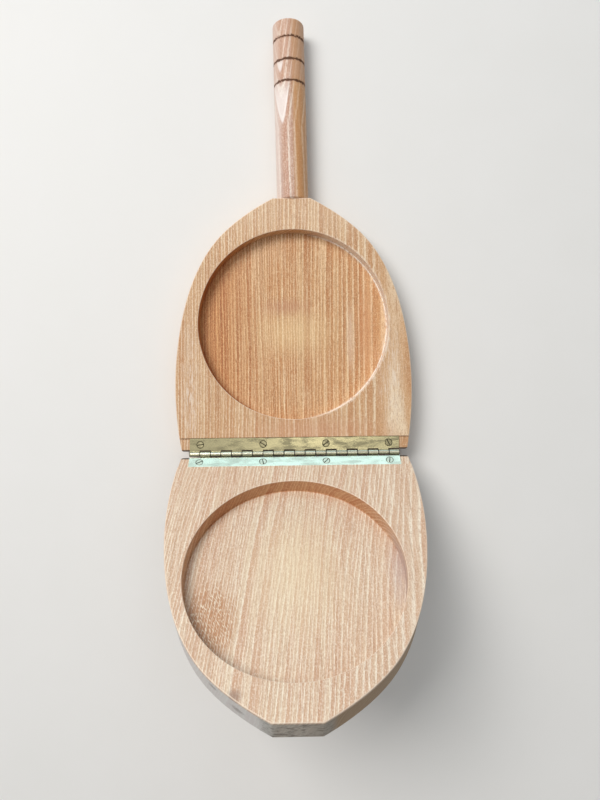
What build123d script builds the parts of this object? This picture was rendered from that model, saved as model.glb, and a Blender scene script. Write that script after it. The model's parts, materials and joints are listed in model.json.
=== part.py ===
from build123d import *
import os
from math import cos, radians, sin, tan

# A hinged wooden press: two matching egg-shaped boards with facing round pockets, joined across
# their wide ends by a brass piano hinge. The base board carries a dowel handle and lies on its
# back; the lid is shown raised from lying flat.
# Millimetres. The origin is on the base board's underside below the middle of its pocket,
# +Y runs towards the handle, +Z is up and the hinge pin is parallel to X.

# ---- driving dimensions ----
board_thickness = 29
pocket_radius = 91.8
base_pocket_depth = 14.1
lid_pocket_depth = 14.5
base_pocket_from_pin = 124
lid_pocket_from_pin = 125.2
base_pocket_side_shift = 0.5
lid_pocket_side_shift = 1.1

end_from_pin = 2.6  # each board stops this far short of the pin's axis
base_length_from_pin = 246.5
lid_length_from_pin = 244.6
tip_half_width = 18.2
# Right-hand edge of a board, as (distance from the pin, half width).
edge_points = [(66, 113.4), (120, 108.5), (165, 96.4), (206.7, 72.1), (228.4, 47.7)]
hinge_end_half_width = 107.7
corner_rounding = 2.5
back_edge_rounding = 3.2
face_edge_rounding = 0.9
rim_rounding = 0.6

lid_raised = 43.6  # degrees that the lid stands above lying open flat

knuckle_pitch = 10
knuckle_count = 20
knuckle_end_gap = 0.22  # at each end of a knuckle
knuckle_radius = 2.3
leaf_thickness = 1.1
leaf_width = 15
leaf_edge_rounding = 0.25
roll_gap = 0.25  # between a knuckle's rolled end and its leaf
notch_clearance = 1.2
rebate_clearance = 0.3
pin_radius = 1.2
pin_running_clearance = 0.05
face_gap = 0.15  # the boards' faces stop this far short of the pin's axis when closed

screw_from_pin = 8.9
screw_spacing = 60
screw_count = 4
screw_head_radius = 3.5
screw_head_angle = 90
screw_head_bevel = 0.3
screw_shank_radius = 1.75
screw_root_radius = 1.35
screw_length = 15
screw_point_length = 3
thread_pitch = 1.4
slot_width = 0.9
slot_depth = 0.8
base_slot_angles = [8, -32, 35, -62]
lid_slot_angles = [80, 50, 100, 28]

handle_radius = 15.6
handle_length = 178
handle_end_rounding = 2.2
handle_side_shift = 1.4  # where the handle leaves the board
handle_lean = 0.8  # degrees to the left
tenon_radius = 9
tenon_length = 26
ring_positions = [18.2, 40.8, 62.2]  # from the handle's free end
ring_width = 1.1
ring_depth = 0.7

# ---- worked out from them ----
hinge_length = knuckle_pitch * knuckle_count
leaf_face_depth = knuckle_radius - leaf_thickness  # below the pin's axis
rebate_width = leaf_width + rebate_clearance
pin_y = -base_pocket_from_pin
pin_z = board_thickness + face_gap
tip_y = pin_y + base_length_from_pin

# On each of these planes x runs along the pin, y away from the pin across the board's face,
# and z out of that face. Both have the pin's axis in them.
raise_angle = radians(lid_raised)
base_plane = Plane(origin=(0, pin_y, pin_z), x_dir=(1, 0, 0), z_dir=(0, 0, 1))
lid_plane = Plane(
    origin=(0, pin_y, pin_z),
    x_dir=(-1, 0, 0),
    z_dir=(0, sin(raise_angle), cos(raise_angle)),
)


def section_of(face_plane):
    """The plane across the pin: x away from the pin, y out of the board's face."""
    return Plane(origin=face_plane.origin, x_dir=face_plane.y_dir, z_dir=face_plane.x_dir)


def at_screws(face_plane):
    """The screws' places, with their heads flush with the top of the leaf."""
    leaf_face = face_plane.offset(-leaf_face_depth)
    middle = (screw_count - 1) / 2
    return [
        Plane(
            origin=leaf_face.from_local_coords(((i - middle) * screw_spacing, screw_from_pin, 0)),
            x_dir=face_plane.x_dir,
            z_dir=face_plane.z_dir,
        )
        for i in range(screw_count)
    ]


def board(face_plane, length, pocket_from_pin, pocket_side_shift, pocket_depth):
    """One half of the press, cut from a flat board."""
    wood_face = face_plane.offset(-face_gap)
    outward = Axis(wood_face.origin, wood_face.z_dir)
    shorter = base_length_from_pin - length
    side = [(half_width, from_pin - shorter) for from_pin, half_width in edge_points]
    side = [(hinge_end_half_width, end_from_pin)] + side + [(tip_half_width, length)]
    other_side = [(-x, y) for x, y in side]

    with BuildPart() as half:
        with BuildSketch(wood_face):
            with BuildLine():
                right = Spline(side)
                left = Spline(other_side)
                Line(right @ 0, left @ 0)
                Line(right @ 1, left @ 1)
            make_face()
        extrude(amount=-board_thickness)

        fillet(half.edges().filter_by(outward), corner_rounding)
        fillet(half.faces().sort_by(outward)[0].edges(), back_edge_rounding)
        fillet(half.faces().sort_by(outward)[-1].edges(), face_edge_rounding)

        with BuildSketch(wood_face):
            with Locations((pocket_side_shift, pocket_from_pin)):
                Circle(pocket_radius)
        extrude(amount=-pocket_depth, mode=Mode.SUBTRACT)
        pocket_edges = half.edges().filter_by(GeomType.CIRCLE).sort_by(SortBy.RADIUS)[-2:]
        fillet(pocket_edges.sort_by(outward)[-1], rim_rounding)

        # The rebate lets the leaf lie below the face, right across the board.
        with BuildSketch(section_of(face_plane)):
            with Locations((0, -knuckle_radius)):
                Rectangle(rebate_width, knuckle_radius + 1, align=(Align.MIN, Align.MIN))
        extrude(amount=hinge_end_half_width + 20, both=True, mode=Mode.SUBTRACT)

        for place in at_screws(face_plane):
            with Locations(place):
                CounterSinkHole(
                    screw_shank_radius,
                    screw_head_radius,
                    depth=screw_length,
                    counter_sink_angle=screw_head_angle,
                )
    return half


def hinge_leaf(face_plane, bore_radius):
    """A leaf with every second knuckle of the barrel rolled from it, back onto its own face."""
    foreign_width = knuckle_pitch + 2 * knuckle_end_gap
    with BuildPart() as leaf:
        with BuildSketch(section_of(face_plane)) as section:
            Circle(knuckle_radius)
            with Locations((0, -knuckle_radius)):
                Rectangle(leaf_width, leaf_thickness, align=(Align.MIN, Align.MIN))
            fillet(section.vertices().sort_by(Axis.X)[-2:], leaf_edge_rounding)
            Circle(bore_radius, mode=Mode.SUBTRACT)
            with Locations((0, -leaf_face_depth)):
                Rectangle(
                    knuckle_radius,
                    roll_gap,
                    align=(Align.MIN, Align.MIN),
                    mode=Mode.SUBTRACT,
                )
        extrude(amount=hinge_length / 2, both=True)

        # Clear the other leaf's knuckles; the last of them is at this leaf's end.
        with BuildSketch(face_plane):
            with Locations((knuckle_pitch / 2, 0)):
                with GridLocations(2 * knuckle_pitch, 1, knuckle_count // 2, 1):
                    Rectangle(foreign_width, 2 * (knuckle_radius + notch_clearance))
        extrude(amount=knuckle_radius + 1, both=True, mode=Mode.SUBTRACT)

        for place in at_screws(face_plane):
            with Locations(place):
                CounterSinkHole(
                    screw_shank_radius,
                    screw_head_radius,
                    depth=screw_length,
                    counter_sink_angle=screw_head_angle,
                )
    return leaf


def wood_screw(place, slot_angle):
    """A slotted countersunk screw, head uppermost on the place's plane."""
    head_depth = (screw_head_radius - screw_shank_radius) / tan(radians(screw_head_angle / 2))
    thread_start = head_depth + 3
    thread_end = screw_length - screw_point_length
    turns = int((thread_end - thread_start) / thread_pitch)
    # The head's top edge is bevelled, so its rim lies that far down the countersink.
    outline = [
        (0, 0),
        (screw_head_radius - 2 * screw_head_bevel, 0),
        (screw_head_radius - screw_head_bevel, -screw_head_bevel),
        (screw_shank_radius, -head_depth),
        (screw_shank_radius, -thread_start),
    ]
    for i in range(turns):
        top = thread_start + i * thread_pitch
        outline.append((screw_root_radius, -(top + 0.35 * thread_pitch)))
        outline.append((screw_root_radius, -(top + 0.65 * thread_pitch)))
        outline.append((screw_shank_radius, -(top + thread_pitch)))
    outline.append((0, -screw_length))

    lengthwise = Plane(origin=place.origin, x_dir=place.x_dir, z_dir=-place.y_dir)
    with BuildPart() as screw:
        with BuildSketch(lengthwise):
            with BuildLine():
                Polyline(outline, close=True)
            make_face()
        revolve(axis=Axis(place.origin, place.z_dir))
        with BuildSketch(place):
            Rectangle(3 * screw_head_radius, slot_width, rotation=slot_angle)
        extrude(amount=-slot_depth, mode=Mode.SUBTRACT)
    return screw


def keep(sub_part, name):
    sub_part.part.label = name
    export_step(sub_part.part, f"parts/{name}.step")


os.makedirs("parts", exist_ok=True)

# ---- base board and its handle ----
lean = radians(handle_lean)
handle_axis = Axis(
    (handle_side_shift, tip_y, handle_radius),
    (-sin(lean), cos(lean), 0),
)
# x across the handle, y along it towards its free end
handle_plane = Plane(
    origin=handle_axis.position,
    x_dir=(cos(lean), sin(lean), 0),
    z_dir=(0, 0, 1),
)
socket_plane = Plane(origin=handle_axis.position, z_dir=handle_axis.direction)

base_board = board(
    base_plane,
    base_length_from_pin,
    base_pocket_from_pin,
    base_pocket_side_shift,
    base_pocket_depth,
)
with BuildPart() as handle_half:
    add(base_board.part)
    with BuildSketch(socket_plane.offset(-tenon_length)):
        Circle(tenon_radius)
    extrude(amount=tenon_length + 5, mode=Mode.SUBTRACT)
keep(handle_half, "handle_half")

with BuildPart() as handle:
    with BuildSketch(handle_plane):
        with Locations((0, -1)):
            Rectangle(handle_radius, handle_length + 1, align=(Align.MIN, Align.MIN))
        for position in ring_positions:
            with Locations((handle_radius, handle_length - position)):
                Rectangle(2 * ring_depth, ring_width, mode=Mode.SUBTRACT)
    revolve(axis=handle_axis)
    free_end = handle.edges().filter_by(GeomType.CIRCLE).sort_by(handle_axis)[-1]
    fillet(free_end, handle_end_rounding)
    # The shoulder meets the board's end face, which is square to Y.
    split(bisect_by=Plane(origin=(0, tip_y, 0), z_dir=(0, 1, 0)), keep=Keep.TOP)
    with BuildSketch(socket_plane.offset(-tenon_length)):
        Circle(tenon_radius)
    extrude(amount=tenon_length + 5)
keep(handle, "handle")

# ---- lid ----
lid_half = board(
    lid_plane,
    lid_length_from_pin,
    lid_pocket_from_pin,
    lid_pocket_side_shift,
    lid_pocket_depth,
)
keep(lid_half, "lid_half")

# ---- hinge ----
keep(hinge_leaf(base_plane, pin_radius), "hinge_leaf_base")
keep(hinge_leaf(lid_plane, pin_radius + pin_running_clearance), "hinge_leaf_lid")

with BuildPart() as hinge_pin:
    with BuildSketch(section_of(base_plane)):
        Circle(pin_radius)
    extrude(amount=hinge_length / 2, both=True)
keep(hinge_pin, "hinge_pin")

# ---- screws ----
for board_name, plane, slot_angles in (
    ("base", base_plane, base_slot_angles),
    ("lid", lid_plane, lid_slot_angles),
):
    for number, (place, slot_angle) in enumerate(zip(at_screws(plane), slot_angles), start=1):
        keep(wood_screw(place, slot_angle), f"{board_name}_screw_{number}")
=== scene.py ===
"""The looks of a hinged wooden press: two egg-shaped boards with facing pockets, a brass piano
hinge and a dowel handle with three burned rings. Lengths are in metres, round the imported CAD,
except inside the materials, which work in millimetres."""

import json
import math

import bmesh
import bpy
from mathutils import Matrix, Vector, noise


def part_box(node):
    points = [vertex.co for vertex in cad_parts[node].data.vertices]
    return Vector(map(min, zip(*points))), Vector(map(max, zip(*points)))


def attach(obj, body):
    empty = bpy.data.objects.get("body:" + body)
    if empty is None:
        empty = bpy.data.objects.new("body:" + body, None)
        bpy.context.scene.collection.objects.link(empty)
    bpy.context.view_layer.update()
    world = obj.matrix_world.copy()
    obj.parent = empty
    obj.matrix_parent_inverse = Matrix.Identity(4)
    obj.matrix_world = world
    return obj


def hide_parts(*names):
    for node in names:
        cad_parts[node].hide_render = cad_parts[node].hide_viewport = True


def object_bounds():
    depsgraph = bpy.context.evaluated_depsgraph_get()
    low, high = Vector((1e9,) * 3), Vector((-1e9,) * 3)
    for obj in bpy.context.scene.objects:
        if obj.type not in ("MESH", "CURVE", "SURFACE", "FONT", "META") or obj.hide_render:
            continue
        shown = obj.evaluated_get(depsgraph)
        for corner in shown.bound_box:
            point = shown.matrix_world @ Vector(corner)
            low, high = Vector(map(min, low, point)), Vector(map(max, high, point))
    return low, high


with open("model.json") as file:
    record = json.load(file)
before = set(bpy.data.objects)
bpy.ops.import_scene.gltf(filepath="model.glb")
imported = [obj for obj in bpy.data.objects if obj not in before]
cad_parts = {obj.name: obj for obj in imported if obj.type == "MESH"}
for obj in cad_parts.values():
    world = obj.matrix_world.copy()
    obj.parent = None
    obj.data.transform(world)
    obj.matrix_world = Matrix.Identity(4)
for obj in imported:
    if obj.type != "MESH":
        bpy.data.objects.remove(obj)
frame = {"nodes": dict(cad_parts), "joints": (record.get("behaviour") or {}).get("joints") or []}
cad_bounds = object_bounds()

# ---- sizes and places ----
MM = 0.001
PER_METRE = 1000

pin_low, pin_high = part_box("hinge_pin")
PIN = (pin_low + pin_high) / 2
LID_RAISED = math.radians(-frame["joints"][0]["range_deg"][0])  # above lying open flat

HANDLE_LEAN = math.radians(0.8)
HANDLE_RADIUS = 15.6 * MM
HANDLE_LENGTH = 178 * MM
HANDLE_END_ROUNDING = 2.2 * MM
HANDLE_JOINT = Vector((1.4 * MM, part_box("handle_half")[1].y, HANDLE_RADIUS))
TENON_RADIUS = 9 * MM
TENON_LENGTH = 26 * MM
BURNED_RINGS = (18.2 * MM, 40.8 * MM, 62.2 * MM)  # from the handle's free end
HANDLE_SIDES = 144
HANDLE_END_STEPS = 8
HANDLE_ALONG = Vector((-math.sin(HANDLE_LEAN), math.cos(HANDLE_LEAN), 0))
HANDLE_SIDEWAYS = Vector((math.cos(HANDLE_LEAN), math.sin(HANDLE_LEAN), 0))
FLOOR_SIZE = 6.0

# Millimetres, for the materials. A pocket's middle is measured from the pin's middle.
BASE_POCKET = (0.5, 124, 0)
LID_POCKET = (1.1, 125.2, 0)
POCKET_RADIUS = 91.8
SCREWS_FROM_PIN = 8.9
SCREW_SPACING = 60
SCREW_HEAD_RADIUS = 3.2
KNUCKLE_PITCH = 10


# ---- camera and studio ----
def make_camera():
    data = bpy.data.cameras.new("camera")
    data.sensor_width = 36
    data.lens = 29.27
    camera = bpy.data.objects.new("camera", data)
    camera.location = PIN + Vector((0, 26.2 * MM, 621.6 * MM))
    camera.rotation_euler = [math.radians(angle) for angle in (2.245, -0.505, -0.763)]
    bpy.context.scene.collection.objects.link(camera)
    bpy.context.scene.camera = camera


def soft_light(name, place, size, watts, colour, spread=180):
    """A rectangular soft box that faces the hinge. A smaller spread keeps it off the floor beside it."""
    data = bpy.data.lights.new(name, "AREA")
    data.shape = "RECTANGLE"
    data.size, data.size_y = size
    data.energy = watts
    data.color = colour
    data.spread = math.radians(spread)
    light = bpy.data.objects.new(name, data)
    light.location = place
    light.rotation_euler = (PIN - Vector(place)).to_track_quat("-Z", "Y").to_euler()
    light.visible_camera = False
    bpy.context.scene.collection.objects.link(light)


def make_studio():
    soft_light("window_light", (-1.25, 1.05, 2.25), (1.6, 1.4), 60, (1.0, 0.98, 0.96))
    soft_light("sky_light", (0.1, 1.9, 0.58), (2.1, 1.1), 2.3, (0.60, 0.84, 1.0), 90)
    soft_light("ceiling_light", (0.2, -0.1, 2.2), (2.4, 2.4), 9, (1.0, 0.98, 0.94))
    soft_light("lamp_light", (0.11, -0.13, 2.1), (0.10, 0.5), 0.5, (1.0, 0.95, 0.84))
    world = bpy.data.worlds.new("studio")
    world.use_nodes = True
    background = world.node_tree.nodes["Background"]
    background.inputs["Color"].default_value = (0.90, 0.95, 1.0, 1)
    background.inputs["Strength"].default_value = 0.25
    bpy.context.scene.world = world
    bpy.context.scene.view_settings.view_transform = "Standard"


# ---- shader helper ----
class Value:
    """One output of a shader node. Arithmetic on it adds Math nodes to its tree."""

    def __init__(self, tree, socket=None):
        self.tree = tree
        self.socket = socket

    def node(self, kind, settings=None, inputs=None, output=0):
        """Any node: its settings first, then the values or links of its sockets."""
        made = self.tree.nodes.new("ShaderNode" + kind)
        for name, setting in (settings or {}).items():
            setattr(made, name, setting)
        for name, value in (inputs or {}).items():
            feed(self.tree, made.inputs[name], value)
        return Value(self.tree, made.outputs[output])

    def math(self, operation, *operands):
        return self.node("Math", {"operation": operation}, dict(enumerate(operands)))

    def __add__(self, other):
        return self.math("ADD", self, other)

    def __radd__(self, other):
        return self.math("ADD", other, self)

    def __sub__(self, other):
        return self.math("SUBTRACT", self, other)

    def __rsub__(self, other):
        return self.math("SUBTRACT", other, self)

    def __mul__(self, other):
        return self.math("MULTIPLY", self, other)

    def __rmul__(self, other):
        return self.math("MULTIPLY", other, self)

    def __truediv__(self, other):
        return self.math("DIVIDE", self, other)

    def __pow__(self, other):
        return self.math("POWER", self, other)

    def __abs__(self):
        return self.math("ABSOLUTE", self)


def feed(tree, socket, value):
    """Links a Value to a socket, or sets the socket to a constant."""
    if isinstance(value, Value):
        tree.links.new(value.socket, socket)
    else:
        socket.default_value = value


def vector_math(operation, first, second, output=0):
    return first.node("VectorMath", {"operation": operation}, {0: first, 1: second}, output)


def length_of(vector):
    return vector.node("VectorMath", {"operation": "LENGTH"}, {0: vector}, output=1)


def parts_of(vector):
    """The x, y and z of a vector Value."""
    return [vector.node("SeparateXYZ", None, {0: vector}, output) for output in range(3)]


def stretched_noise(vector, grain, detail=2.0, roughness=0.5, seed=0.0):
    """Noise from 0 to 1 whose grains have the given size along x, y and z."""
    scaled = vector_math("DIVIDE", vector, grain)
    moved = vector_math("ADD", scaled, (seed, 3 * seed, 7 * seed))
    inputs = {"Vector": moved, "Scale": 1.0, "Detail": detail, "Roughness": roughness}
    return vector.node("TexNoise", None, inputs)


def line_noise(value, seed=0.0, detail=1.0):
    """Noise from 0 to 1 along one number."""
    inputs = {"W": value + seed, "Scale": 1.0, "Detail": detail}
    return value.node("TexNoise", {"noise_dimensions": "1D"}, inputs)


def ramp(value, low, high):
    """0 below low, 1 above high, smooth between. High may be the smaller."""
    settings = {"interpolation_type": "SMOOTHSTEP"}
    return value.node("MapRange", settings, {"Value": value, "From Min": low, "From Max": high})


def mix(factor, first, second, blend="MIX"):
    """A colour between two colours."""
    settings = {"data_type": "RGBA", "blend_type": blend}
    return factor.node("Mix", settings, {0: factor, 6: first, 7: second}, output=2)


def level_of(start, direction):
    """How far the surface faces along a direction: 1 is square to it."""
    facing = start.node("TexCoord", output=1)
    return vector_math("DOT_PRODUCT", facing, direction, output=1)


def rounded_edges(start, direction):
    """1 on the rounded edges and rims that turn away from a board's face."""
    level = level_of(start, direction)
    return ramp(level, 0.10, 0.35) * ramp(level, 0.995, 0.95)


def patch(place, centre, size, ragged=1.2):
    """1 in the middle of a round patch that fades out in streaks along the grain."""
    offset = vector_math("DIVIDE", vector_math("SUBTRACT", place, centre), size)
    uneven = stretched_noise(place, (2.2, 34, 2.2), 3.0, 0.65, 17) - 0.5
    return ramp(length_of(offset) + uneven * ragged, 1.05, 0.0)


def tone(red, green, blue):
    """A linear colour from everyday 0 to 255 values."""
    return tuple(((channel / 255) ** 2.2) for channel in (red, green, blue)) + (1.0,)


def new_material(name):
    """A material and a Value that adds nodes to it."""
    material = bpy.data.materials.new(name)
    material.use_nodes = True
    return material, Value(material.node_tree)


def finish_surface(material, start, colour, roughness, height, bump_depth, metallic=0.0):
    """Feeds the Principled shader. The bump depth, in metres, is how far a height of 1 stands out."""
    surface = material.node_tree.nodes["Principled BSDF"].inputs
    feed(start.tree, surface["Base Color"], colour)
    feed(start.tree, surface["Roughness"], roughness)
    surface["Metallic"].default_value = metallic
    bump = start.node("Bump", None, {"Height": height, "Distance": bump_depth, "Strength": 1.0})
    feed(start.tree, surface["Normal"], bump)
    return material


# ---- where a piece's own x, y and z run ----
def placed_coordinates(start, rows, origin):
    """Millimetres along three directions, measured from an origin on the resting object."""
    turn = Matrix(rows)
    inputs = {
        "Vector": start.node("TexCoord", output=3),
        "Location": -(turn @ origin) * PER_METRE,
        "Rotation": turn.to_euler(),
        "Scale": (PER_METRE,) * 3,
    }
    return start.node("Mapping", {"vector_type": "POINT"}, inputs)


def base_coordinates(start):
    """x along the pin, y across the base board from the pin, z out of its face."""
    return placed_coordinates(start, ((1, 0, 0), (0, 1, 0), (0, 0, 1)), PIN)


def lid_coordinates(start):
    """The same three directions on the raised lid."""
    sine, cosine = math.sin(LID_RAISED), math.cos(LID_RAISED)
    return placed_coordinates(start, ((-1, 0, 0), (0, -cosine, sine), (0, sine, cosine)), PIN)


def handle_coordinates(start):
    """x across the handle, y along it from the board, z up."""
    sine, cosine = math.sin(HANDLE_LEAN), math.cos(HANDLE_LEAN)
    rows = ((cosine, sine, 0), (-sine, cosine, 0), (0, 0, 1))
    return placed_coordinates(start, rows, HANDLE_JOINT)


# ---- wood ----
def wood_figure(place, pith, lean, taper, ring_width, seed, taper_start=0.0, wander=1.0):
    """The growth rings and fibres of one piece, in its own millimetres.

    The pith runs roughly along y, lean is its slope across the face, and taper makes the rings
    close in cathedral points along the piece.
    """
    drift = stretched_noise(place, (60, 300, 60), 1.0, seed=seed) - 0.5
    waver = stretched_noise(place, (9, 70, 9), 1.0, seed=seed + 5) - 0.5
    ripple = stretched_noise(place, (6, 6.5, 6), 1.0, seed=seed + 6) - 0.5
    x, y, z = parts_of(place)
    across = x - pith[0] + y * lean + drift * 16 + (waver * 1.6 + ripple * 0.9) * wander
    depth = z - pith[1] + drift * 7
    radius = (across * across + depth * depth) ** 0.5
    if taper:
        radius = radius - y.math("MAXIMUM", y - taper_start, 0.0) * taper
    year = radius / ring_width + line_noise(radius / 12, seed) * 1.6
    through_year = year.math("FRACT", year)
    whole_year = year.math("FLOOR", year)
    year_tone = year.node("TexWhiteNoise", {"noise_dimensions": "1D"}, {"W": whole_year})
    fibre = stretched_noise(place, (0.45, 14, 0.45), 3.0, 0.65, seed)
    fleck = stretched_noise(place, (0.55, 5.5, 0.55), 3.0, 0.6, seed + 7)
    streak = stretched_noise(place, (1.8, 80, 1.8), 2.0, 0.55, seed + 2)
    pore = stretched_noise(place, (0.34, 3.6, 0.34), 1.0, 0.5, seed + 9)
    speckle = stretched_noise(place, (0.8, 1.5, 0.8), 1.0, 0.5, seed + 10)
    region = stretched_noise(place, (26, 60, 26), 1.0, 0.5, seed + 12)
    line = ramp(through_year, 0.0, 0.12) * ramp(through_year, 0.42, 0.20)
    line = line * (0.6 + ramp(region, 0.35, 0.55) * 0.4)
    return {
        "place": place,
        "radius": radius,
        "line": line,
        "late": ramp(through_year, 0.45, 1.0) * ramp(through_year, 1.0, 0.97),
        "year_tone": year_tone,
        "fibre": fibre,
        "fleck": fleck,
        "speckle": speckle,
        "streak": streak,
        "pore": ramp(pore, 0.60, 0.72),
        "band": line_noise(radius / 24, seed + 40),
        "stripe": line_noise(radius / 6 + drift * 2, seed + 50),
    }


def grain_colour(figure, tones, line_strength):
    """The wood's colour: bands and stripes, then the years' pale lines, then flecks and fibres."""
    colour = mix(ramp(figure["band"], 0.40, 0.70), tones["ground"], tones["pale"])
    colour = mix(ramp(figure["year_tone"], 0.3, 1.0) * 0.7, colour, tones["warm"])
    colour = mix(figure["late"] * 0.6, colour, tones["warm"])
    colour = mix(ramp(figure["stripe"], 0.52, 0.66) * 0.5, colour, tones["pale"])
    colour = mix(ramp(figure["stripe"], 0.46, 0.32) * 0.5, colour, tones["warm"])
    colour = mix(ramp(figure["streak"], 0.54, 0.72) * 0.5, colour, tones["line"])
    colour = mix(ramp(figure["streak"], 0.44, 0.28) * 0.4, colour, tones["dark"])
    broken = ramp(figure["fleck"], 0.30, 0.50) * ramp(figure["streak"], 0.15, 0.45)
    faint = 1.0 - ramp(figure["year_tone"], 0.4, 1.0) * 0.4
    colour = mix(figure["line"] * broken * faint * line_strength, colour, tones["line"])
    colour = mix(ramp(figure["fleck"], 0.54, 0.72) * 0.5, colour, tones["line"])
    colour = mix(ramp(figure["fleck"], 0.46, 0.30) * 0.45, colour, tones["dark"])
    colour = mix(ramp(figure["fibre"], 0.50, 0.28) * 0.5, colour, tones["dark"])
    colour = mix(figure["pore"] * figure["line"] * 0.5, colour, tones["dark"])
    colour = mix(ramp(figure["speckle"], 0.54, 0.70) * 0.4, colour, tones["line"])
    return mix(ramp(figure["speckle"], 0.46, 0.30) * 0.35, colour, tones["dark"])


def wood(name, coordinates, face, figure_settings, tones, details, line_strength=1.0):
    """Sanded wood with pale lines. The rounded edges round a board's face are painted pale, partly
    rubbed wear and partly a painted highlight.
    """
    material, start = new_material(name)
    figure = wood_figure(coordinates(start), **figure_settings)
    colour = grain_colour(figure, tones, line_strength)
    roughness = 0.46 + figure["fibre"] * 0.18
    height = figure["fibre"] * 0.5 + figure["fleck"] * 0.4 - figure["pore"] * figure["line"] * 0.6
    colour, roughness, height = details(figure, colour, roughness, height)
    if face:
        # Rounded edges painted pale: partly rubbed wear, partly a painted highlight.
        colour = mix(rounded_edges(start, face) * 0.55, colour, tone(242, 222, 200))
    return finish_surface(material, start, colour, roughness, height, 0.10 * MM)


BASE_TONES = {
    "ground": tone(203, 152, 104),
    "pale": tone(214, 176, 134),
    "warm": tone(182, 124, 76),
    "line": tone(246, 226, 194),
    "dark": tone(144, 94, 54),
}
# The lid's tones are paler and cooler than the base's: partly its own wood, partly painted sky light.
LID_TONES = {
    "ground": tone(211, 177, 148),
    "pale": tone(221, 199, 170),
    "warm": tone(200, 158, 128),
    "line": tone(243, 232, 212),
    "dark": tone(172, 132, 105),
}
HANDLE_TONES = {
    "ground": tone(186, 138, 114),
    "pale": tone(206, 168, 146),
    "warm": tone(184, 132, 104),
    "line": tone(240, 224, 206),
    "dark": tone(136, 90, 66),
}

BASE_FIGURE = {"pith": (100, -84), "lean": -0.01, "taper": 0.0, "ring_width": 2.6, "seed": 3}
LID_FIGURE = {"pith": (-150, -70), "lean": -0.13, "taper": 0.0, "ring_width": 2.9, "seed": 11}
HANDLE_FIGURE = {
    "pith": (-6.5, 11.0),
    "lean": 0.0,
    "taper": 0.17,
    "ring_width": 5.0,
    "seed": 21,
    "taper_start": 71,
    "wander": 0.35,
}


def hinge_painted_shade(figure, colour):
    """Painted shade: darker wood in the rebate under the knuckles."""
    _, y, z = parts_of(figure["place"])
    return mix(ramp(y, 4.6, 3.6) * ramp(z, -6.5, -3.5) * 0.92, colour, tone(30, 20, 14))


def pocket_of(figure, centre):
    """How far a point lies from its pocket's middle, and 1 on the pocket's wall and floor."""
    place = figure["place"]
    offset = vector_math("MULTIPLY", vector_math("SUBTRACT", place, centre), (1, 1, 0))
    distance = length_of(offset)
    z = parts_of(place)[2]
    inside = ramp(distance, POCKET_RADIUS + 1.0, POCKET_RADIUS + 0.3)
    return distance, inside * ramp(z, -0.7, -1.2) * ramp(z, -18, -16)


def wall_of(distance, pocket):
    """1 on a pocket's wall."""
    return pocket * ramp(distance, POCKET_RADIUS - 1.4, POCKET_RADIUS - 0.6)


def base_face_marks(place, colour, limed):
    """Pale limed streaks down both sides of the face, a paler tip and a pinker hinge end."""
    _, y, z = parts_of(place)
    sides = patch(place, (-99, 60, 0), (12, 90, 60)) + patch(place, (94, 70, 0), (16, 70, 60))
    colour = mix(sides * 0.12, colour, tone(232, 212, 190))
    colour = mix(sides * ramp(limed, 0.48, 0.62) * 0.54, colour, tone(242, 230, 214))
    tip = ramp(y, 190, 232) * ramp(z, -2.0, -0.5)
    colour = mix(tip * 0.24, colour, tone(232, 206, 178))
    pink_face = patch(place, (20, 20, 0), (90, 22, 6))
    return mix(pink_face * 0.35, colour, tone(204, 150, 122))


def base_floor_marks(place, colour):
    """A warm and a pale streak, a brown smudge and a painted pool of light in the middle of the pocket's
    floor.
    """
    warm_streak = patch(place, (71, 118, -14), (13, 70, 6))
    colour = mix(warm_streak * 0.45, colour, tone(214, 146, 98))
    pale_streak = patch(place, (56, 112, -14), (6, 56, 6))
    colour = mix(pale_streak * 0.4, colour, tone(236, 214, 190))
    smudge = patch(place, (-6, 142, -14), (32, 12, 6), 0.7)
    colour = mix(smudge * 0.45, colour, tone(170, 108, 84))
    # Painted pool of light in the middle of the floor.
    painted_light_pool = patch(place, (0, 118, -14), (52, 34, 6), 0.6)
    return mix(painted_light_pool * 0.35, colour, tone(244, 216, 164))


def base_wall_marks(place, colour, limed, distance, pocket):
    """The pocket's wall is whitish and torn on the right, partly raw wood and partly a painted
    highlight, with a pale fringe along the rim there, and has painted shade on the left.
    """
    x, _, z = parts_of(place)
    right = ramp(x, 6, 50)
    wall = wall_of(distance, pocket)
    fringe = ramp(distance, POCKET_RADIUS - 2.8, POCKET_RADIUS - 0.8)
    fringe = fringe * ramp(distance, POCKET_RADIUS + 2.8, POCKET_RADIUS + 0.6) * ramp(z, -15.5, -14.6)
    # Pale fringe along the right rim: partly raw wood, partly a painted highlight.
    colour = mix(fringe * right * ramp(limed, 0.44, 0.60) * 0.5, colour, tone(240, 226, 208))
    torn = ramp(stretched_noise(place, (3, 3, 0.8), 2.0, 0.6, 27), 0.30, 0.50)
    # Whitish torn right wall: partly raw wood, partly a painted highlight.
    colour = mix(wall * right * torn * 0.85, colour, tone(246, 236, 224))
    # Painted shade on the left wall, which faces away from the light.
    return mix(wall * ramp(x, -20, -60) * 0.6, colour, tone(226, 180, 120), "MULTIPLY")


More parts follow.
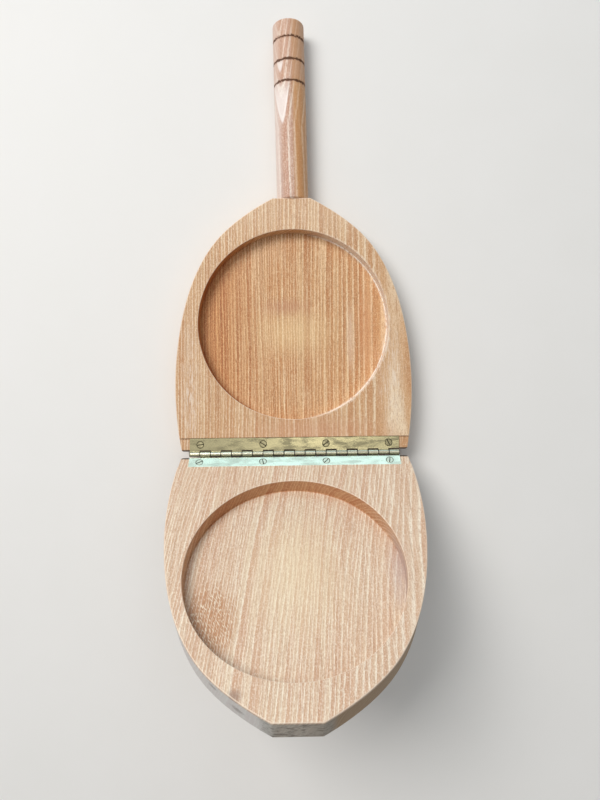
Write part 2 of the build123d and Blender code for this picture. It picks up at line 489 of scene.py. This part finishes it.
def base_details(figure, colour, roughness, height):
    """A plain face and a browner pocket, partly oil stain and partly painted shade, with painted shade
    on the left of the pocket, then the marks on each.
    """
    place = figure["place"]
    x, y, _ = parts_of(place)
    distance, pocket = pocket_of(figure, BASE_POCKET)
    colour = mix((1.0 - pocket) * ramp(y, 215, 150) * 0.24, colour, tone(200, 158, 118))
    # Browner pocket: partly oil stain, partly painted shade.
    colour = mix(pocket * 0.35, colour, tone(250, 222, 176), "MULTIPLY")
    # Painted shade on the left of the pocket, where the left wall's shadow falls.
    colour = mix(pocket * ramp(x, -20, -86) * 0.8, colour, tone(236, 196, 142), "MULTIPLY")
    limed = stretched_noise(place, (0.9, 11, 0.9), 2.0, 0.6, 25)
    colour = base_face_marks(place, colour, limed)
    colour = base_floor_marks(place, colour)
    colour = base_wall_marks(place, colour, limed, distance, pocket)
    # Painted shade in the rebate under the knuckles.
    return hinge_painted_shade(figure, colour), roughness, height


def torn_grain(figure, colour, height):
    """A browner patch of the lid's pocket where short slanted tears stand up."""
    place = figure["place"]
    x, y, z = parts_of(place)
    torn = ramp(patch(place, (70, 164, -14), (34, 50, 6), 1.1), 0.0, 0.75)
    slanted = x.node("CombineXYZ", None, {0: x * 0.91 + y * 0.41, 1: y * 0.91 - x * 0.41, 2: z})
    tears = stretched_noise(slanted, (0.7, 2.8, 2), 0.0, 0.5, 31)
    flecks = torn * ramp(tears, 0.60, 0.70)
    colour = mix(torn * (1.0 - figure["line"] * 0.8) * 0.85, colour, tone(186, 136, 98))
    colour = mix(flecks * 0.8, colour, tone(244, 230, 206))
    colour = mix(torn * ramp(tears, 0.40, 0.30) * 0.4, colour, tone(150, 104, 72))
    return colour, height + flecks * 1.6


def lid_face_marks(place, colour):
    """A paler middle and a cooler edge in the lid's pocket, and a grey stain on its face."""
    middle = patch(place, (-2, 120, -14), (62, 84, 8), 0.7)
    colour = mix(middle * 0.40, colour, tone(234, 212, 172))
    cool = patch(place, (-88, 118, -10), (15, 60, 12), 0.7)
    colour = mix(cool * 0.6, colour, tone(176, 158, 162))
    stain = patch(place, (45, 226, 0), (8, 8, 6), 0.8)
    return mix(stain * 0.7, colour, tone(140, 116, 104))


def lid_side_marks(figure, colour, height, pocket):
    """One side of the lid is greyed, partly weathering and partly a painted sheen, the other has painted
    shade in brown, and its tip is grey sawn end grain.
    """
    place = figure["place"]
    x, y, z = parts_of(place)
    outside = ramp(z, -1.5, -4.0) * (1.0 - pocket) * ramp(z, -28.9, -28.0)
    weathered_and_sheen_side = outside * ramp(x, 14, 22) * ramp(y, 30, 150)
    # Greyed side: partly weathering, partly a painted sheen.
    colour = mix(weathered_and_sheen_side * 0.72, colour, tone(214, 215, 216))
    painted_shade_side = outside * ramp(x, 0, -22) * ramp(y, 8, 60) * 0.8
    # Painted shade on the other side, with its pale lines kept.
    colour = mix(painted_shade_side, colour, tone(140, 106, 62))
    colour = mix(painted_shade_side * figure["line"] * 0.5, colour, tone(196, 168, 128))
    end_grain = outside * ramp(y, 238, 243)
    colour = mix(end_grain * 0.7, colour, tone(166, 163, 154))
    sawn = stretched_noise(place, (5.0, 3.0, 1.3), 2.0, 0.6, 44)
    colour = mix(end_grain * ramp(sawn, 0.50, 0.64) * 0.75, colour, tone(96, 84, 70))
    return colour, height - end_grain * sawn * 3.0


def lid_details(figure, colour, roughness, height):
    """The lid's torn grain, face, sides, painted shade on its pocket wall and the two small knots in its
    greyed side.
    """
    place = figure["place"]
    x, y, _ = parts_of(place)
    colour, height = torn_grain(figure, colour, height)
    colour = lid_face_marks(place, colour)
    distance, pocket = pocket_of(figure, LID_POCKET)
    colour, height = lid_side_marks(figure, colour, height, pocket)
    wall = wall_of(distance, pocket)
    # Painted shade on the pocket's wall near the hinge and on its left.
    colour = mix(wall * ramp(y, 120, 50) * 0.8, colour, tone(218, 172, 126), "MULTIPLY")
    colour = mix(wall * ramp(x, 30, 80) * 0.5, colour, tone(232, 190, 136), "MULTIPLY")
    large_knot = patch(place, (44, 232, -15), (7, 17, 5), 1.1)
    small_knot = patch(place, (62, 216, -9), (5, 11, 4), 1.1)
    colour = mix((large_knot + small_knot) * 0.6, colour, tone(92, 72, 58))
    # Painted shade in the rebate under the knuckles.
    return hinge_painted_shade(figure, colour), roughness, height


def burned_lines(place, colour, roughness):
    """Three ragged, charred lines round the handle, each with a scorched border."""
    y = parts_of(place)[1]
    ragged = stretched_noise(place, (1.1, 1.1, 1.1), 2.0, 0.6, 4)
    blots = stretched_noise(place, (2.4, 2.4, 2.4), 1.0, 0.5, 14)
    half_width = 0.50 + ramp(blots, 0.38, 0.62) * 1.0
    for ring in BURNED_RINGS:
        from_line = abs(HANDLE_LENGTH / MM - ring / MM - 1.3 - y + ragged * 2.6)
        colour = mix(ramp(from_line, 2.6, 0.3) * 0.4, colour, tone(146, 96, 58))
        char = ramp(from_line - half_width, 0.3, -0.2)
        colour = mix(char * 0.88, colour, tone(86, 52, 30))
        roughness = roughness + char * 0.3
    return colour, roughness


def handle_details(figure, colour, roughness, height):
    """The handle has painted warm shade on its right side and a painted sheen on its left, with a pale
    heart between.
    """
    place = figure["place"]
    x, y, _ = parts_of(place)
    # Painted warm shade on the handle's right side.
    colour = mix(ramp(x, 0.5, 5.0) * 0.55, colour, tone(212, 152, 84))
    # Painted sheen on the handle's left side.
    colour = mix(ramp(x, -6.0, -14.0) * 0.6, colour, tone(242, 228, 220))
    colour = mix(ramp(y, 108, 124) * 0.45, colour, tone(200, 158, 132))
    heart = ramp(figure["radius"], 2.6, 1.8) * ramp(y, 122, 96)
    inner_heart = ramp(figure["radius"], -6.4, -7.2) * ramp(y, 140, 131)
    colour = mix((heart + inner_heart) * 0.75, colour, tone(244, 234, 228))
    colour, roughness = burned_lines(place, colour, roughness)
    return colour, roughness - 0.06, height


# ---- metals ----
def screw_rim_shade(place):
    """1 in the narrow ring round each screw head, where painted shade marks the gap."""
    x, y, _ = parts_of(place)
    spaced = x.math("PINGPONG", x, SCREW_SPACING)
    from_screw = spaced - SCREW_SPACING / 2
    outward = y - SCREWS_FROM_PIN
    distance = (from_screw * from_screw + outward * outward) ** 0.5
    return ramp(abs(distance - SCREW_HEAD_RADIUS), 0.55, 0.15)


def brass(name, coordinates, bright, dull, seed):
    """Rolled brass strip, dulled and a little stained. The rolled knuckles are painted pale as a
    highlight, with painted shade on their undersides, at their ends, along the notches and round the
    screw heads.
    """
    material, start = new_material(name)
    place = coordinates(start)
    x, y, z = parts_of(place)
    rolled = stretched_noise(place, (34, 0.25, 0.25), 2.0, 0.6, seed)
    cloud = stretched_noise(place, (16, 5, 5), 3.0, 0.55, seed + 1)
    speck = stretched_noise(place, (0.9, 0.8, 0.8), 1.0, 0.5, seed + 2)
    sheet = stretched_noise(place, (24, 20, 20), 1.0, 0.5, seed + 3)
    knuckle = ramp((y * y + z * z) ** 0.5, 3.0, 2.4)
    knuckle_end = knuckle * ramp(x.math("PINGPONG", x, KNUCKLE_PITCH / 2), 0.66, 0.40)
    # Painted shade on the knuckles' undersides.
    underside_shade = knuckle * ramp(level_of(start, (0, -0.94, -0.34)), -0.1, 0.7)
    notch_edge = ramp(y, 2.3, 2.6) * ramp(y, 4.3, 3.9) * ramp(z, -1.22, -1.3)
    # Painted shade in the gaps: knuckle ends, notch edges and screw rims.
    gap_shade = knuckle_end.math("MAXIMUM", knuckle_end, notch_edge)
    gap_shade = gap_shade.math("MAXIMUM", gap_shade, screw_rim_shade(place))
    colour = mix(ramp(cloud, 0.42, 0.70), bright, dull)
    colour = mix(ramp(rolled, 0.45, 0.75) * 0.25, colour, dull)
    # Painted highlight: the knuckles painted pale.
    colour = mix(knuckle * 0.8, colour, tone(226, 222, 196))
    colour = mix(underside_shade * 0.9, colour, tone(60, 54, 36))
    colour = mix(ramp(speck, 0.70, 0.78) * 0.6, colour, tone(74, 60, 40))
    colour = mix(gap_shade * 0.9, colour, tone(30, 24, 16))
    roughness = 0.17 + ramp(cloud, 0.4, 0.7) * 0.10 + rolled * 0.08 + gap_shade * 0.3
    height = rolled * 0.04 + cloud * 0.2 + sheet * 1.6
    return finish_surface(material, start, colour, roughness, height, 0.10 * MM, metallic=1.0)


def screw_brass(name, coordinates, bright, dull, seed):
    """Turned brass, with painted shade in the slot."""
    material, start = new_material(name)
    place = coordinates(start)
    wear = stretched_noise(place, (2.5, 2.5, 2.5), 3.0, 0.6, seed)
    z = parts_of(place)[2]
    colour = mix(ramp(wear, 0.35, 0.7), bright, dull)
    # Painted shade in the slot.
    colour = mix(ramp(z, -1.28, -1.5) * 0.9, colour, tone(34, 27, 18))
    return finish_surface(material, start, colour, 0.24 + wear * 0.2, wear, 0.05 * MM, metallic=1.0)


def steel(name):
    """Drawn wire, with fine lines along it."""
    material, start = new_material(name)
    place = base_coordinates(start)
    drawn = stretched_noise(place, (20, 0.15, 0.15), 2.0)
    colour = mix(drawn, tone(150, 146, 136), tone(196, 192, 184))
    return finish_surface(material, start, colour, 0.3 + drawn * 0.15, drawn, 0.01 * MM, metallic=1.0)


def floor_material():
    """A plain pale surface, barely mottled."""
    material, start = new_material("pale_floor")
    mottle = stretched_noise(base_coordinates(start), (60, 60, 60), 3.0)
    colour = mix(mottle, tone(228, 226, 222), tone(232, 230, 227))
    return finish_surface(material, start, colour, 0.6 + mottle * 0.1, mottle, 0.05 * MM)


# ---- handle ----
def along_handle():
    """Distances along the handle from the board, closer together at its rings and its end."""
    stations = []
    position = 0.0
    while position < HANDLE_LENGTH - HANDLE_END_ROUNDING:
        stations.append(position)
        from_end = HANDLE_LENGTH - position
        near_ring = min(abs(from_end - ring) for ring in BURNED_RINGS)
        position += 0.2 * MM if near_ring < 2.2 * MM else 1.6 * MM
    return stations


def handle_radius_at(position, angle):
    """The hand-sanded dowel's radius, with the ragged burned grooves taken out of it."""
    around = Vector((math.cos(angle), math.sin(angle), 0))
    uneven = noise.noise(around * 1.1 + Vector((0, 0, position * 22)))
    radius = HANDLE_RADIUS - 0.12 * MM + uneven * 0.12 * MM
    from_end = HANDLE_LENGTH - position
    for number, ring in enumerate(BURNED_RINGS):
        if abs(from_end - ring) > 3 * MM:
            continue
        wander = noise.noise(around * 1.6 + Vector((0, 0, 9 * number))) * 0.5 * MM
        tear = noise.noise(around * 12 + Vector((0, 0, 31 + position * 700)))
        half_width = (0.62 + 0.45 * tear) * MM
        depth = (0.45 + 0.35 * tear) * MM
        distance = abs(from_end - ring - wander)
        radius -= depth * max(0.0, 1 - (distance / half_width) ** 2)
    return radius


def handle_sections():
    """Each section's distance from the board, with a function that gives its radius at an angle."""

    def tenon(angle):
        return TENON_RADIUS

    def dowel(position, inset=0.0):
        return lambda angle: handle_radius_at(position, angle) - inset

    sections = [(-TENON_LENGTH, tenon), (0.0, tenon)]
    for position in along_handle():
        sections.append((position, dowel(position)))
    edge_start = HANDLE_LENGTH - HANDLE_END_ROUNDING
    for step in range(HANDLE_END_STEPS + 1):
        turn = step / HANDLE_END_STEPS * math.pi / 2
        position = edge_start + HANDLE_END_ROUNDING * math.sin(turn)
        inset = HANDLE_END_ROUNDING * (1 - math.cos(turn))
        sections.append((position, dowel(edge_start, inset)))
    return sections


def ring_of_points(shape, position, radius_at):
    """One section's points, round the handle's own line."""
    ring = []
    for side in range(HANDLE_SIDES):
        angle = 2 * math.pi * side / HANDLE_SIDES
        radius = radius_at(angle)
        across = HANDLE_SIDEWAYS * (radius * math.cos(angle))
        upward = Vector((0, 0, 1)) * (radius * math.sin(angle))
        ring.append(shape.verts.new(HANDLE_JOINT + HANDLE_ALONG * position + (across + upward)))
    return ring


def turned_mesh():
    """The dowel and its tenon as one closed skin."""
    mesh = bpy.data.meshes.new("handle_turned")
    shape = bmesh.new()
    rings = [ring_of_points(shape, position, radius_at) for position, radius_at in handle_sections()]
    for lower, upper in zip(rings, rings[1:]):
        for side in range(HANDLE_SIDES):
            following = (side + 1) % HANDLE_SIDES
            shape.faces.new((lower[side], lower[following], upper[following], upper[side]))
    shape.faces.new(rings[0])
    shape.faces.new(rings[-1])
    bmesh.ops.recalc_face_normals(shape, faces=shape.faces)
    for face in shape.faces:
        face.smooth = len(face.verts) == 4
    shape.to_mesh(mesh)
    shape.free()
    return mesh


def turned_handle():
    """The handle as a new piece, in place of the plain CAD one."""
    handle = bpy.data.objects.new("handle_turned", turned_mesh())
    bpy.context.scene.collection.objects.link(handle)
    handle.data.materials.append(
        wood("handle_wood", handle_coordinates, None, HANDLE_FIGURE, HANDLE_TONES, handle_details, 1.5)
    )
    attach(handle, "base")
    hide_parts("handle")


def paint(node, material):
    """Gives a CAD node its material."""
    slots = frame["nodes"][node].data.materials
    slots.clear()
    slots.append(material)


make_camera()
make_studio()

UP = (0, 0, 1)
LID_FACE = (0, math.sin(LID_RAISED), math.cos(LID_RAISED))
# The lid's brass is painted paler than the base's: a painted reflection of the bright sky.
BASE_BRASS = (tone(190, 181, 142), tone(146, 139, 110))
LID_BRASS_PAINTED_REFLECTION = (tone(240, 245, 219), tone(214, 219, 196))
paint("handle_half", wood("base_wood", base_coordinates, UP, BASE_FIGURE, BASE_TONES, base_details))
paint("lid_half", wood("lid_wood", lid_coordinates, LID_FACE, LID_FIGURE, LID_TONES, lid_details, 0.85))
paint("hinge_leaf_base", brass("base_leaf_brass", base_coordinates, *BASE_BRASS, 2))
paint("hinge_leaf_lid", brass("lid_leaf_brass", lid_coordinates, *LID_BRASS_PAINTED_REFLECTION, 6))
paint("hinge_pin", steel("pin_steel"))
base_screws = screw_brass("base_screw_brass", base_coordinates, *BASE_BRASS, 1)
lid_screws = screw_brass("lid_screw_brass", lid_coordinates, *LID_BRASS_PAINTED_REFLECTION, 2)
for number in range(1, 5):
    paint(f"base_screw_{number}", base_screws)
    paint(f"lid_screw_{number}", lid_screws)
turned_handle()

bpy.ops.mesh.primitive_plane_add(size=FLOOR_SIZE, location=(0, 0, cad_bounds[0].z))
floor = bpy.context.object
floor.name = "floor"
floor.data.materials.append(floor_material())
